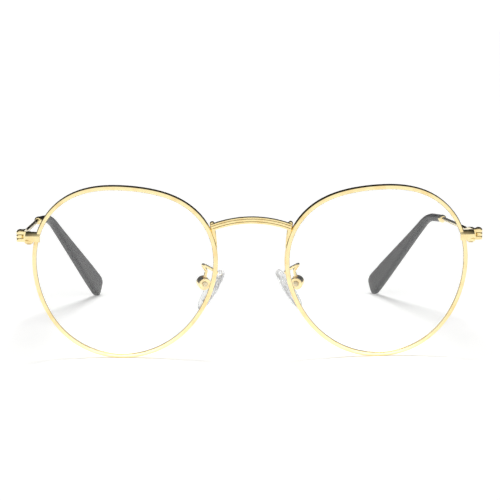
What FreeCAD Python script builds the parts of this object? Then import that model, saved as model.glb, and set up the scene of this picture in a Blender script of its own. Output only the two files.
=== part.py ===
import FreeCAD, Part
import math
import os

from FreeCAD import Placement, Rotation, Vector

# Round wire eyeglasses, opened, standing on the two rims and the two temple tips. Millimetres.
# +X is the wearer's left, -Y is in front of the lenses, +Z is up. The left half is modelled and
# mirrored in the plane X = 0. While it is modelled, Y = 0 is the front of the left lens's centre.
# Lens pieces are made in the lens's own frame: x to the temple, y to the back, z up.

# ---------------------------------------------------------------- driving dimensions
rim_radius = 25.46            # mean radius of the rim's outer edge
rim_lobes = (                 # how the rim departs from a circle: waves per turn, size, angle of a peak
    (2, 0.60, -3.0),
    (3, 0.85, 37.2),
    (4, 0.26, 49.7),
)
outline_points = 40
lens_x = 35.65                # centre of the rim's outline from the middle of the nose
lens_z = 25.20
tilt = 5.0                    # the tops of the lenses lean forward
wrap = 4.0                    # the temple sides of the lenses turn back
base_radius = 132.0           # radius of the lens's curve
prism_front = 6.6             # the outline's cutting prism starts this far in front of the lens's centre
prism_depth = 16.5

rim_width = 1.25              # rim across, seen from the front
rim_depth = 1.90
rim_round = 0.28
groove_depth = 0.50
groove_width = 0.90
rim_split = 0.20

lens_thickness = 1.60
lens_tongue = 0.84            # edge of the lens, inside the groove
lens_play = 0.03

bridge_height = 2.00
bridge_depth = 1.50
bridge_front = -1.15
bridge_half = 10.90           # from the middle to the axis of a leg
bridge_middle_z = 39.40
bridge_end_z = 37.40
leg_radius = 0.68
leg_tip_radius = 0.28
leg_points = ((10.90, -0.10, 38.45), (10.35, 0.15, 34.60), (9.75, 0.45, 31.60))

end_x = 58.70                 # end piece: its inner end, in front of the rim
end_y = 1.85
end_turn = 14.0
end_length = 4.34
end_knee = 1.80               # from the inner end to where the lower edge starts to climb
end_thickness = 1.90
end_bottom = 33.15
end_bottom_rise = 0.75        # the lower edge climbs towards the hinge
end_shoulder = 34.75          # where the front face meets the sloped upper face
end_top = 35.90
end_slope_depth = 1.15

lock_x = 61.90                # closing block of the rim: centre, split by the rim's gap
lock_y = 3.85
lock_size = (2.20, 1.64)
lock_split_z = 33.62
lock_height = 0.95            # of each half, from the middle of the gap
rim_screw_radius = 0.42
rim_screw_reach = 0.70        # the screw ends this far above the middle of the gap
rim_screw_head = 0.72
rim_screw_head_height = 0.35

hinge_x = 64.35
hinge_y = 6.30
hinge_bottom = 32.90
knuckle_radius = 1.15
knuckle_height = 0.95
knuckle_gap = 0.08
hinge_screw_radius = 0.55
hinge_screw_head = 0.95
hinge_screw_dome = 0.40
thread_play = 0.01
turning_play = 0.06
leaf_back = 5.50              # rear face of the front leaf
leaf_inner = 61.40
leaf_outer = 63.45            # the plate ends short of the knuckles, so the middle one shows
ear_front = 5.20              # front face of the ears that carry the outer knuckles
leaf_sweep = 0.20             # room that the front leaf leaves round the turning knuckle

wire_radius = 0.65
butt_height = 2.50            # the wire's front end is flattened
butt_thickness = 1.15
butt_start = 1.75             # from the hinge's axis
butt_length = 20.0
butt_taper = 6.0
nearly_round = 0.99           # the taper ends in an oval this close to the wire's circle
temple_points = ((64.35, 6.30, 34.32), (63.80, 78.50, 30.78), (60.60, 89.30, 30.15), (46.15, 126.90, 1.92))
temple_bends = (40.0, 14.0)   # radii of the two bends
core_short = 12.0             # the wire stops this far before the tip's end

tip_start = 72.6              # from the hinge's axis, along the temple
tip_sections = (              # how far along the tip, its height and its thickness
    (0.00, 2.25, 2.15),
    (0.17, 2.50, 2.35),
    (0.34, 3.00, 2.45),
    (0.55, 4.30, 2.50),
    (0.76, 5.90, 2.50),
    (0.90, 6.90, 2.45),
)
tip_end_rows = ((0.965, 6.30, 2.20), (1.00, 4.60, 1.50))
ferrule_length = 2.20
ferrule_radius = 1.28

arm_radius = 0.45
arm_bend = 0.95
arm_points = (
    (9.95, 1.20, 24.50),
    (10.30, 3.60, 24.95),
    (13.30, 4.20, 26.45),
    (13.60, 6.75, 26.05),
    (12.45, 7.70, 24.30),
    (13.10, 7.80, 21.60),
)

box_centre = Vector(13.25, 7.60, 20.90)
box_axis = Vector(-0.30, -0.92, -0.25)      # points out of the box's front face
box_radius = 1.80
box_length = 2.60
box_round = 0.26
box_slot = 1.30
box_web = 1.20                # the slot goes this far past the screw
pad_screw_radius = 0.45
pad_screw_head = 0.80
pad_screw_head_height = 0.25

pad_centre = Vector(11.05, 9.25, 18.60)
pad_lean = 32.0               # the pad's top leans to the nose
pad_splay = 14.0              # the pad's front edge turns to the nose
pad_length = 13.0
pad_breadth = 7.2
pad_thickness = 2.2
pad_round = 0.95
core_length = 8.0
core_breadth = 3.6
core_thickness = 0.70
eye_radius = 1.05
eye_thickness = 1.10
eye_play = 0.05

spare = 1.0                   # a cutter reaches this far past what it cuts
origin_back = 63.24           # the origin is this far behind Y = 0, in the middle of the whole depth


# ---------------------------------------------------------------- helpers
def cylinder(radius, start, end):
    """Round bar between two points."""
    axis = end - start
    return Part.makeCylinder(radius, axis.Length, start, axis)


def block(low, high):
    """Box between its lowest and its highest corner."""
    size = high - low
    return Part.makeBox(size.x, size.y, size.z, low)


def ellipse_wire(centre, long_way, across, long_size, cross_size):
    """Closed ellipse about a centre, with its two full widths and their directions."""
    longer = long_size >= cross_size
    major = long_way if longer else across
    minor = across if longer else long_way
    radii = sorted((long_size / 2, cross_size / 2), reverse=True)
    if radii[0] - radii[1] < 1e-6:
        return Part.Wire(Part.makeCircle(radii[0], centre, major.cross(minor)))
    curve = Part.Ellipse(centre + major * radii[0], centre + minor * radii[1], centre)
    return Part.Wire(curve.toShape())


def rounded_path(points, radii):
    """Straight runs through the points, joined by tangent arcs, as a list of edges."""
    corners = [Vector(*point) for point in points]
    edges = []
    start = corners[0]
    for before, corner, after, radius in zip(corners, corners[1:], corners[2:], radii):
        back = (before - corner).normalize()
        ahead = (after - corner).normalize()
        half_turn = (math.pi - back.getAngle(ahead)) / 2
        reach = radius * math.tan(half_turn)
        middle = (back + ahead).normalize()
        deepest = corner + middle * (radius / math.cos(half_turn) - radius)
        leave = corner + back * reach
        join = corner + ahead * reach
        edges.append(Part.makeLine(start, leave))
        edges.append(Part.Arc(leave, deepest, join).toShape())
        start = join
    edges.append(Part.makeLine(start, corners[-1]))
    return edges


def path_place(edges, distance):
    """Point and direction at a distance along a path."""
    for edge in edges:
        if distance <= edge.Length or edge is edges[-1]:
            spot = edge.getParameterByLength(min(distance, edge.Length))
            return edge.valueAt(spot), edge.tangentAt(spot).normalize()
        distance -= edge.Length


def path_length(edges):
    return sum(edge.Length for edge in edges)


def tube(edges, radius):
    """Round wire along a path."""
    ring = Part.Wire(Part.makeCircle(radius, edges[0].valueAt(edges[0].FirstParameter),
                                     edges[0].tangentAt(edges[0].FirstParameter)))
    return Part.Wire(edges).makePipeShell([ring], True, False)


# ---------------------------------------------------------------- lens and rim
def outline_point(angle, inset):
    """Point of the rim's outer edge, moved in by inset square to the edge. Angle 0 is the temple."""
    radius = rim_radius
    slope = 0.0
    for waves, size, peak in rim_lobes:
        phase = waves * (angle - math.radians(peak))
        radius += size * math.cos(phase)
        slope -= size * waves * math.sin(phase)
    outward = Vector(math.cos(angle), 0, math.sin(angle))
    onward = Vector(-math.sin(angle), 0, math.cos(angle))
    normal = (outward * radius - onward * slope).normalize()
    return outward * radius - normal * inset


def outline_prism(inset):
    """Straight prism on the outline, long enough to pass through every lens piece."""
    points = [outline_point(2 * math.pi * step / outline_points, inset) for step in range(outline_points)]
    curve = Part.BSplineCurve()
    curve.interpolate(Points=points, PeriodicFlag=True)
    face = Part.Face(Part.Wire(curve.toShape()))
    face.translate(Vector(0, -prism_front, 0))
    return face.extrude(Vector(0, prism_depth, 0))


def curved_slab(inset, front, back):
    """The prism cut to the lens's curve, from a front depth to a back depth."""
    centre = Vector(0, base_radius, 0)
    outer = Part.makeSphere(base_radius - front, centre)
    inner = Part.makeSphere(base_radius - back, centre)
    return outline_prism(inset).common(outer).cut(inner)


def lens_place():
    turn = Rotation(Vector(0, 0, 1), wrap).multiply(Rotation(Vector(1, 0, 0), tilt))
    return Placement(Vector(lens_x, 0, lens_z), turn)


def placed(shape, place):
    result = shape.copy()
    result.Placement = place.multiply(result.Placement)
    return result


def rim_blank():
    """The rim with its inside still filled, for cutting what is soldered to it."""
    return placed(curved_slab(0, -rim_depth / 2, rim_depth / 2), lens_place())


def make_rim():
    ring = curved_slab(0, -rim_depth / 2, rim_depth / 2).cut(outline_prism(rim_width))
    ring = ring.makeFillet(rim_round, ring.Edges)
    ring = ring.cut(curved_slab(rim_width - groove_depth, -groove_width / 2, groove_width / 2))
    ring = placed(ring, lens_place())
    half_gap = rim_split / 2
    gap = block(Vector(lens_x + rim_radius / 2, -rim_depth, lock_split_z - half_gap),
                Vector(lens_x + 2 * rim_radius, base_radius, lock_split_z + half_gap))
    return ring.cut(gap)


def make_lens():
    half = lens_thickness / 2
    pane = curved_slab(rim_width + lens_play, -half, half)
    tongue = curved_slab(rim_width - groove_depth, -lens_tongue / 2, lens_tongue / 2)
    return placed(pane.fuse(tongue).removeSplitter(), lens_place())


# ---------------------------------------------------------------- bridge
def make_bridge(rims):
    rise = bridge_middle_z - bridge_end_z
    arch_radius = (bridge_half ** 2 + rise ** 2) / (2 * rise)
    centre = Vector(0, bridge_front, bridge_middle_z - arch_radius)
    half_angle = math.degrees(math.asin(bridge_half / arch_radius))
    outer = Part.makeCylinder(arch_radius + bridge_height / 2, bridge_depth, centre, Vector(0, 1, 0))
    inner = Part.makeCylinder(arch_radius - bridge_height / 2, bridge_depth, centre, Vector(0, 1, 0))
    reach = 2 * arch_radius
    lean = reach * math.tan(math.radians(half_angle))
    fan = Part.makePolygon([centre, centre + Vector(lean, 0, reach), centre + Vector(-lean, 0, reach), centre])
    wedge = Part.Face(fan).extrude(Vector(0, bridge_depth, 0))
    bar = outer.cut(inner).common(wedge)
    arcs = [edge for edge in bar.Edges if edge.Curve.TypeId == "Part::GeomCircle"]
    bar = bar.makeFillet(bridge_depth / 4, arcs)
    leg = make_bridge_leg()
    return bar.fuse(leg).fuse(mirrored(leg)).cut(rims).removeSplitter()


def make_bridge_leg():
    """Post with a round top, lying along the rim's nose side and drawn out to a thin tip."""
    top, knee, tip = [Vector(*point) for point in leg_points]
    post = cylinder(leg_radius, top, knee)
    taper = Part.makeCone(leg_radius, leg_tip_radius, (tip - knee).Length, knee, tip - knee)
    return post.fuse([Part.makeSphere(leg_radius, top), Part.makeSphere(leg_radius, knee), taper])


# ---------------------------------------------------------------- end piece and closing block
def make_end_piece(blank):
    """Front plate with a sloped upper face, and the upper half of the closing block behind it."""
    outline = (
        (0, end_bottom),
        (end_knee, end_bottom),
        (end_length, end_bottom + end_bottom_rise),
        (end_length, end_top),
        (0, end_top),
        (0, end_bottom),
    )
    plate = Part.Face(Part.makePolygon([Vector(x, 0, z) for x, z in outline]))
    plate = plate.extrude(Vector(0, end_thickness, 0))
    slope = ((0, end_shoulder), (0, end_top), (end_slope_depth, end_top), (0, end_shoulder))
    wedge = Part.Face(Part.makePolygon([Vector(0, y, z) for y, z in slope]))
    plate = plate.cut(wedge.extrude(Vector(end_length, 0, 0)))
    plate = placed(plate, Placement(Vector(end_x, end_y, 0), Rotation(Vector(0, 0, 1), end_turn)))
    upper = lock_block(lock_split_z + rim_split / 2, lock_split_z + lock_height)
    lower_room = lock_block(lock_split_z - lock_height, lock_split_z + rim_split / 2)
    return plate.cut(lower_room).fuse(upper).cut([blank, rim_screw_bore()]).removeSplitter()


def lock_block(low, high):
    reach = Vector(lock_size[0] / 2, lock_size[1] / 2, 0)
    middle = Vector(lock_x, lock_y, 0)
    return block(middle - reach + Vector(0, 0, low), middle + reach + Vector(0, 0, high))


def rim_screw_bore():
    low = Vector(lock_x, lock_y, lock_split_z - lock_height - spare)
    high = Vector(lock_x, lock_y, lock_split_z + rim_screw_reach)
    return cylinder(rim_screw_radius + thread_play, low, high)


def make_rim_lock(blank):
    lower = lock_block(lock_split_z - lock_height, lock_split_z - rim_split / 2)
    return lower.cut([blank, rim_screw_bore()])


def make_rim_screw():
    seat = Vector(lock_x, lock_y, lock_split_z - lock_height)
    shank = cylinder(rim_screw_radius, seat, Vector(lock_x, lock_y, lock_split_z + rim_screw_reach))
    head = cylinder(rim_screw_head, seat - Vector(0, 0, rim_screw_head_height), seat)
    head = head.makeChamfer(rim_screw_head_height / 2, [head.Edges[2]])
    return shank.fuse(head)


# ---------------------------------------------------------------- hinge
def knuckle_bottom(level):
    """Height of the underside of a knuckle, counted from the lowest."""
    return hinge_bottom + level * (knuckle_height + knuckle_gap)


def knuckle(level):
    """One ring of the hinge, counted from the bottom, still solid."""
    low = knuckle_bottom(level)
    return cylinder(knuckle_radius, Vector(hinge_x, hinge_y, low), Vector(hinge_x, hinge_y, low + knuckle_height))


def hinge_top():
    return hinge_bottom + 3 * knuckle_height + 2 * knuckle_gap


def hinge_bore(play):
    return cylinder(hinge_screw_radius + play, Vector(hinge_x, hinge_y, hinge_bottom - spare),
                    Vector(hinge_x, hinge_y, hinge_top() + spare))


def make_ear(level):
    """Web from the front leaf's plate to one of its knuckles."""
    foot = knuckle_bottom(level)
    return block(Vector(leaf_inner, ear_front, foot),
                 Vector(hinge_x, leaf_back, foot + knuckle_height))


def make_front_hinge(end_piece):
    """Leaf soldered behind the end piece, with the lowest and the highest knuckle."""
    plate = block(Vector(leaf_inner, lock_y + lock_size[1] / 2, hinge_bottom),
                  Vector(leaf_outer, leaf_back, hinge_top()))
    leaf = plate.fuse([make_ear(0), make_ear(2), knuckle(0), knuckle(2)])
    middle = hinge_bottom + knuckle_height
    room = cylinder(knuckle_radius + leaf_sweep, Vector(hinge_x, hinge_y, middle),
                    Vector(hinge_x, hinge_y, middle + knuckle_height + 2 * knuckle_gap))
    return leaf.cut([room, hinge_bore(thread_play), end_piece]).removeSplitter()


def make_hinge_screw():
    bottom = Vector(hinge_x, hinge_y, hinge_bottom)
    top = Vector(hinge_x, hinge_y, hinge_top())
    shank = cylinder(hinge_screw_radius, bottom, top)
    dome_radius = (hinge_screw_head ** 2 + hinge_screw_dome ** 2) / (2 * hinge_screw_dome)
    dome = Part.makeSphere(dome_radius, top + Vector(0, 0, hinge_screw_dome - dome_radius))
    head = dome.common(cylinder(hinge_screw_head, top, top + Vector(0, 0, hinge_screw_dome)))
    return shank.fuse(head)


def make_temple_hinge():
    """Middle knuckle with a tab that runs back to the temple's flattened end."""
    low = hinge_bottom + knuckle_height + knuckle_gap
    tab = block(Vector(hinge_x - butt_thickness / 2, hinge_y, low),
                Vector(hinge_x + butt_thickness / 2, hinge_y + butt_start, low + knuckle_height))
    return knuckle(1).fuse(tab).cut(hinge_bore(turning_play)).removeSplitter()


# ---------------------------------------------------------------- temple
def temple_path():
    return rounded_path(temple_points, temple_bends)


def temple_frame(edges, distance):
    """Point, direction, height direction and side direction of the temple at a distance."""
    centre, direction = path_place(edges, distance)
    side = direction.cross(Vector(0, 0, 1)).normalize()
    return centre, direction, side.cross(direction), side


def bar_section(centre, up, side, height, thickness):
    half_up = up * (height / 2)
    half_side = side * (thickness / 2)
    corners = [centre + half_up + half_side, centre + half_up - half_side,
               centre - half_up - half_side, centre - half_up + half_side]
    return Part.makePolygon(corners + corners[:1])


def make_temple_butt(edges):
    """Flattened front end of the wire, and the taper from it to the round wire."""
    start, _, up, side = temple_frame(edges, butt_start)
    flat_end = path_place(edges, butt_start + butt_length - butt_taper)[0]
    round_start = path_place(edges, butt_start + butt_length)[0]
    corners = [bar_section(centre, up, side, butt_height, butt_thickness) for centre in (start, flat_end)]
    ovals = [
        ellipse_wire(flat_end, up, side, butt_height, butt_thickness),
        ellipse_wire(round_start, up, side, 2 * wire_radius, 2 * wire_radius * nearly_round),
    ]
    return [Part.makeLoft(corners, True, True), Part.makeLoft(ovals, True)]


def make_temple_wire():
    """Flattened front end, then round wire that runs on inside the tip as its core."""
    edges = temple_path()
    core_end, direction = path_place(edges, path_length(edges) - core_short)
    ahead = block(Vector(0, -hinge_y, 0), Vector(2 * hinge_x, hinge_y + butt_start, 2 * hinge_bottom))
    behind = cylinder(2 * butt_height, core_end, core_end + direction * (2 * core_short))
    wire = tube(edges, wire_radius).cut([ahead, behind])
    return wire.fuse(make_temple_butt(edges)).cut(make_temple_hinge()).removeSplitter()


def make_temple_tip(core):
    edges = temple_path()
    length = path_length(edges) - tip_start
    rings = []
    for share, height, thickness in tip_sections + tip_end_rows:
        centre, _, up, side = temple_frame(edges, tip_start + share * length)
        rings.append(ellipse_wire(centre, up, side, height, thickness))
    return Part.makeLoft(rings, True).cut(core)


def make_ferrule():
    """Bead at the front end of the tip, bored for the wire."""
    middle, direction = path_place(temple_path(), tip_start - ferrule_length / 2)
    half = direction * (ferrule_length / 2)
    widest = math.degrees(math.asin(ferrule_length / 2 / ferrule_radius))
    bead = Part.makeSphere(ferrule_radius, middle, direction, -widest, widest)
    return bead.cut(cylinder(wire_radius, middle - 2 * half, middle + 2 * half))


# ---------------------------------------------------------------- nose pad
def box_solid():
    half = Vector(box_axis).normalize() * (box_length / 2)
    return cylinder(box_radius, box_centre - half, box_centre + half)


def make_pad_box():
    """Cup with a slot for the pad's eye, open to the nose."""
    box = box_solid()
    box = box.makeFillet(box_round, [edge for edge in box.Edges if edge.Closed])
    return box.cut([box_slot_room(), pad_screw_bore()])


def pad_directions():
    """Length, breadth and outward directions of the nose pad."""
    lean = math.radians(pad_lean)
    splay = math.radians(pad_splay)
    length_way = Vector(-math.sin(lean), 0, math.cos(lean))
    breadth_way = Vector(math.sin(splay), math.cos(splay), 0)
    outward = breadth_way.cross(length_way).normalize()
    return length_way, length_way.cross(outward).normalize(), outward


def box_directions():
    """The box's axis, and the direction in its slot that points away from the pad."""
    axis = Vector(box_axis).normalize()
    outward = pad_directions()[2]
    away = (outward - axis * outward.dot(axis)).normalize()
    return axis, away, axis.cross(away)


def slab_between(centre, axis, away, across, thickness, near, far, breadth):
    """Flat bar square to the axis, from near to far along away."""
    low = centre - axis * (thickness / 2) + away * near - across * (breadth / 2)
    ring = [low, low + away * (far - near), low + away * (far - near) + across * breadth, low + across * breadth]
    return Part.Face(Part.makePolygon(ring + ring[:1])).extrude(axis * thickness)


def box_slot_room():
    axis, away, across = box_directions()
    return slab_between(box_centre, axis, away, across, box_slot, -2 * box_radius, box_web, 3 * box_radius)


def pad_screw_bore():
    axis = box_directions()[0]
    half = axis * box_length
    return cylinder(pad_screw_radius + thread_play, box_centre - half, box_centre + half)


def make_pad_screw():
    axis = box_directions()[0]
    face = box_centre + axis * (box_length / 2)
    shank = cylinder(pad_screw_radius, box_centre - axis * (box_length / 2), face)
    head = cylinder(pad_screw_head, face, face + axis * pad_screw_head_height)
    return shank.fuse(head)


def make_pad_arm(rims):
    edges = rounded_path(arm_points, [arm_bend] * (len(arm_points) - 2))
    return tube(edges, arm_radius).cut([rims, box_solid()])


def make_pad_core():
    """Stiff insert inside the pad, with the eye that the pad screw passes through."""
    axis, away, across = box_directions()
    length_way, breadth_way, outward = pad_directions()
    plate_low = pad_centre - outward * (core_thickness / 2)
    plate = Part.Face(ellipse_wire(plate_low, length_way, breadth_way, core_length, core_breadth))
    plate = plate.extrude(outward * core_thickness)
    half = axis * (eye_thickness / 2)
    eye = cylinder(eye_radius, box_centre - half, box_centre + half)
    gap = (box_centre - pad_centre).dot(outward)
    stem = slab_between(box_centre, axis, away, across, eye_thickness, -gap / away.dot(outward), 0, 2 * eye_radius)
    bore = cylinder(pad_screw_radius + eye_play, box_centre - axis * box_length, box_centre + axis * box_length)
    return plate.fuse([eye, stem]).cut(bore).removeSplitter()


def make_nose_pad(core):
    length_way, breadth_way, outward = pad_directions()
    face = Part.Face(ellipse_wire(pad_centre - outward * (pad_thickness / 2), length_way, breadth_way,
                                  pad_length, pad_breadth))
    pad = face.extrude(outward * pad_thickness)
    pad = pad.makeFillet(pad_round, [edge for edge in pad.Edges if edge.Closed])
    return pad.cut(core)


# ---------------------------------------------------------------- assembly
def left_half():
    blank = rim_blank()
    end_piece = make_end_piece(blank)
    wire = make_temple_wire()
    tip = make_temple_tip(wire)
    core = make_pad_core()
    return {
        "rim": make_rim(),
        "lens": make_lens(),
        "end_piece": end_piece,
        "rim_lock": make_rim_lock(blank),
        "rim_screw": make_rim_screw(),
        "front_hinge": make_front_hinge(end_piece),
        "hinge_screw": make_hinge_screw(),
        "temple_hinge": make_temple_hinge(),
        "temple_wire": wire,
        "temple_tip": tip,
        "ferrule": make_ferrule(),
        "pad_arm": make_pad_arm(blank),
        "pad_box": make_pad_box(),
        "pad_screw": make_pad_screw(),
        "nose_pad": make_nose_pad(core),
        "pad_core": core,
    }


def mirrored(shape):
    return shape.mirror(Vector(0, 0, 0), Vector(1, 0, 0))


def make_pieces():
    pieces = {}
    for name, shape in left_half().items():
        pieces["left_" + name] = shape
        pieces["right_" + name] = mirrored(shape)
    blank = rim_blank()
    pieces["bridge"] = make_bridge([blank, mirrored(blank)])
    for shape in pieces.values():
        shape.translate(Vector(0, -origin_back, 0))
    return pieces


os.makedirs("parts", exist_ok=True)
pieces = make_pieces()
for name, shape in pieces.items():
    shape.exportStep("parts/" + name + ".step")
    box = shape.BoundBox
    print(f"{name:20s} solids {len(shape.Solids)} valid {shape.isValid()} volume {shape.Volume:9.2f}"
          f"  x {box.XMin:7.2f} {box.XMax:7.2f}  y {box.YMin:7.2f} {box.YMax:7.2f}  z {box.ZMin:6.2f} {box.ZMax:6.2f}")
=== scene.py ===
from functools import partial
from math import asin, ceil, copysign, cos, pi, radians, sin, sqrt, tan

import bmesh
import bpy
from mathutils import Matrix, Vector


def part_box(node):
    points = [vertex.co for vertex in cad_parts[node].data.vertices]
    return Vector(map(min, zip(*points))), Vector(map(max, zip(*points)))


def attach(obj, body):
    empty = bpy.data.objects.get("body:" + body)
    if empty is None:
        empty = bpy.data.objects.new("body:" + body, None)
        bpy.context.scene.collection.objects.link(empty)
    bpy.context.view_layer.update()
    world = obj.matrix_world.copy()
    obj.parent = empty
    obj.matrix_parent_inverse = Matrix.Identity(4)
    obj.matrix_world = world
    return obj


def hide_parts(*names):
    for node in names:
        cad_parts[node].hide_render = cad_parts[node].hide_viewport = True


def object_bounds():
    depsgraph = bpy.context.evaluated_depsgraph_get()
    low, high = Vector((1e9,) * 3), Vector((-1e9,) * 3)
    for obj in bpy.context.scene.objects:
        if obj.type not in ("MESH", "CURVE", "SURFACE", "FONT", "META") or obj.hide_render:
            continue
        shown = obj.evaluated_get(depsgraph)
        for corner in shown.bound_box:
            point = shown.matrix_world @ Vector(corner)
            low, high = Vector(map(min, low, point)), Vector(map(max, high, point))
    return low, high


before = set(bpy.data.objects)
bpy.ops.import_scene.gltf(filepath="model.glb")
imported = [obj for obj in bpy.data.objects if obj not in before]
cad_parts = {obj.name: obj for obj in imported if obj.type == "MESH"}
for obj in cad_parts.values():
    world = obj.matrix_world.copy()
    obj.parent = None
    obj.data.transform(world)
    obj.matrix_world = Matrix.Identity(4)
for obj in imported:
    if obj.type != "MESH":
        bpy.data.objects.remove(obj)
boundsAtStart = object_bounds()
print("frame loaded:", len(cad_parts), "nodes")

mm = 0.001

# hinge axis in the frame, and how far it stands behind the front of the lens's centre
hingeLow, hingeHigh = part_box("left_hinge_screw")
hingeAxis = (hingeLow + hingeHigh) / 2
hingeBehindLens = 6.30 * mm
lensFront = hingeAxis.y - hingeBehindLens


def place(x, y, z):
    # millimetres, with y counted back from the front of the lens's centre
    return Vector((x * mm, lensFront + y * mm, z * mm))


def places(rows):
    return [place(*row) for row in rows]


def feed(made, **inputs):
    # inputs by name with _ for a space, or by n and a number; a node stands for its first output
    for name, value in inputs.items():
        socket = made.inputs[int(name[1:]) if name[1:].isdigit() else name.replace("_", " ")]
        if isinstance(value, bpy.types.Node):
            value = value.outputs[0]
        if isinstance(value, bpy.types.NodeSocket):
            made.id_data.links.new(value, socket)
        else:
            socket.default_value = value
    return made


def node(tree, kind, settings=None, **inputs):
    made = tree.nodes.new(kind)
    for name, value in (settings or {}).items():
        setattr(made, name, value)
    return feed(made, **inputs)


def calc(tree, operation, first, second=0.0):
    return node(tree, "ShaderNodeMath", {"operation": operation}, n0=first, n1=second)


def rangeOf(tree, value, low, high, fromLow=0.3, fromHigh=0.7, kind="LINEAR"):
    limits = {"From_Min": fromLow, "From_Max": fromHigh, "To_Min": low, "To_Max": high}
    return node(tree, "ShaderNodeMapRange", {"interpolation_type": kind}, Value=value, **limits)


def patternOf(tree, scale, detail, stretch=(1, 1, 1), distortion=0.0):
    # noise on the object's own coordinates
    own = node(tree, "ShaderNodeTexCoord").outputs["Object"]
    spot = node(tree, "ShaderNodeMapping", Vector=own, Scale=stretch)
    return node(tree, "ShaderNodeTexNoise", Vector=spot, Scale=scale, Detail=detail, Distortion=distortion)


def makeMaterial(name, look):
    # one pattern tints the piece, and another, its grain, sets roughness and bump; both are given as
    # scale, detail, stretch and distortion, and the bump as strength and height
    material = bpy.data.materials.new(name)
    material.use_nodes = True
    tree = material.node_tree
    tree.nodes.clear()
    shader = node(tree, "ShaderNodeBsdfPrincipled", **look["shader"])
    node(tree, "ShaderNodeOutputMaterial", n0=shader)
    ramp = node(tree, "ShaderNodeValToRGB", n0=patternOf(tree, *look["tint"]))
    for step, (spot, colour) in zip(ramp.color_ramp.elements, look["colours"]):
        step.position = spot
        step.color = (*colour, 1)
    grain = patternOf(tree, *look.get("grain", look["tint"]))
    feed(shader, Base_Color=ramp, Roughness=rangeOf(tree, grain, *look["rough"]))
    if "bump" in look:
        strength, height = look["bump"]
        bump = node(tree, "ShaderNodeBump", Height=grain, Strength=strength, Distance=height)
        feed(shader, Normal=bump)
    return material


goldFinish = {
    "bright": (0.99, 0.84, 0.47),
    "deep": (0.92, 0.72, 0.35),
    "clouds": (260, 4),       # about 4 mm
    "hairlines": (2600, 5),   # about 0.4 mm
    "distortion": 0.4,
    "rough": (0.10, 0.20),
    "bump": (0.10, 0.02 * mm),
}


def makeGold(name, stretch, roughen=0.0, deepen=0.0):
    deep, bright = [[part - deepen for part in goldFinish[key]] for key in ("deep", "bright")]
    return makeMaterial(name, {
        "shader": {"Metallic": 1.0},
        "tint": goldFinish["clouds"],
        "colours": ((0.30, deep), (0.52, bright)),
        "grain": (*goldFinish["hairlines"], stretch, goldFinish["distortion"]),
        "rough": [end + roughen for end in goldFinish["rough"]],
        "bump": goldFinish["bump"],
    })


def makeClear(name, look):
    # a thin clear piece throws next to no shadow; an alpha below 1 lets part of the light straight through
    material = makeMaterial(name, look)
    tree = material.node_tree
    shadow = node(tree, "ShaderNodeLightPath").outputs["Is Shadow Ray"]
    body = feed(tree.nodes["Principled BSDF"], Transmission_Weight=1.0)
    clear = node(tree, "ShaderNodeBsdfTransparent")
    mix = node(tree, "ShaderNodeMixShader", n0=shadow, n1=body, n2=clear)
    feed(tree.nodes["Material Output"], n0=mix)
    return material


# the stretch lays the hairlines along each piece
rimGold = makeGold("rimGold", (1, 1, 1))
bridgeGold = makeGold("bridgeGold", (0.12, 1, 1), 0.04, 0.02)
hardwareGold = makeGold("hardwareGold", (1, 1, 0.3), 0.02, 0.01)
wireGold = makeGold("wireGold", (1, 0.05, 1))
tintedSteel = makeMaterial("tintedSteel", {
    "shader": {"Metallic": 1.0},
    "tint": (700, 3),
    "colours": ((0.30, (0.55, 0.45, 0.28)), (0.60, (0.84, 0.72, 0.48))),
    "grain": (3200, 4, (1, 1, 0.15), 0.6),     # tool marks round the screw's axis
    "rough": (0.20, 0.38),
    "bump": (0.25, 0.02 * mm),
})
lensGlass = makeClear("lensGlass", {
    "shader": {"IOR": 1.50},
    "tint": (160, 3),
    "colours": ((0.35, (0.975, 0.98, 0.975)), (0.65, (0.995, 1, 0.995))),
    "rough": (0.0, 0.012),
})
padSilicone = makeClear("padSilicone", {
    "shader": {"IOR": 1.38, "Alpha": 0.62},
    "tint": (900, 3),
    "colours": ((0.35, (0.97, 0.975, 0.975)), (0.65, (0.99, 0.995, 0.995))),
    "rough": (0.01, 0.04),
    "bump": (0.04, 0.01 * mm),
})
coreClear = makeClear("coreClear", {
    "shader": {"IOR": 1.42, "Alpha": 0.40},
    "tint": (1200, 3),
    "colours": ((0.35, (0.92, 0.92, 0.91)), (0.65, (0.94, 0.94, 0.93))),
    "rough": (0.05, 0.10),
    "bump": (0.06, 0.01 * mm),
})
tipPlastic = makeMaterial("smokedAcetate", {
    "shader": {"IOR": 1.50, "Specular_IOR_Level": 0.30},
    "tint": (110, 4, (1, 0.35, 1), 0.5),
    "colours": ((0.32, (0.016, 0.016, 0.018)), (0.68, (0.034, 0.034, 0.037))),
    "grain": (700, 4),
    "rough": (0.28, 0.40),
    "bump": (0.04, 0.01 * mm),
})
print("materials made")


def linked(name, data):
    holder = bpy.data.objects.new(name, data)
    bpy.context.scene.collection.objects.link(holder)
    return holder


def smoothFaces(mesh, angle):
    mesh.polygons.foreach_set("use_smooth", [True] * len(mesh.polygons))
    mesh.set_sharp_from_angle(angle=radians(angle))


def meshObject(name, points, faces, angle=35):
    mesh = bpy.data.meshes.new(name)
    mesh.from_pydata([tuple(point) for point in points], [], faces)
    shape = bmesh.new()
    shape.from_mesh(mesh)
    bmesh.ops.recalc_face_normals(shape, faces=shape.faces)
    shape.to_mesh(mesh)
    shape.free()
    smoothFaces(mesh, angle)
    return linked(name, mesh)


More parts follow.
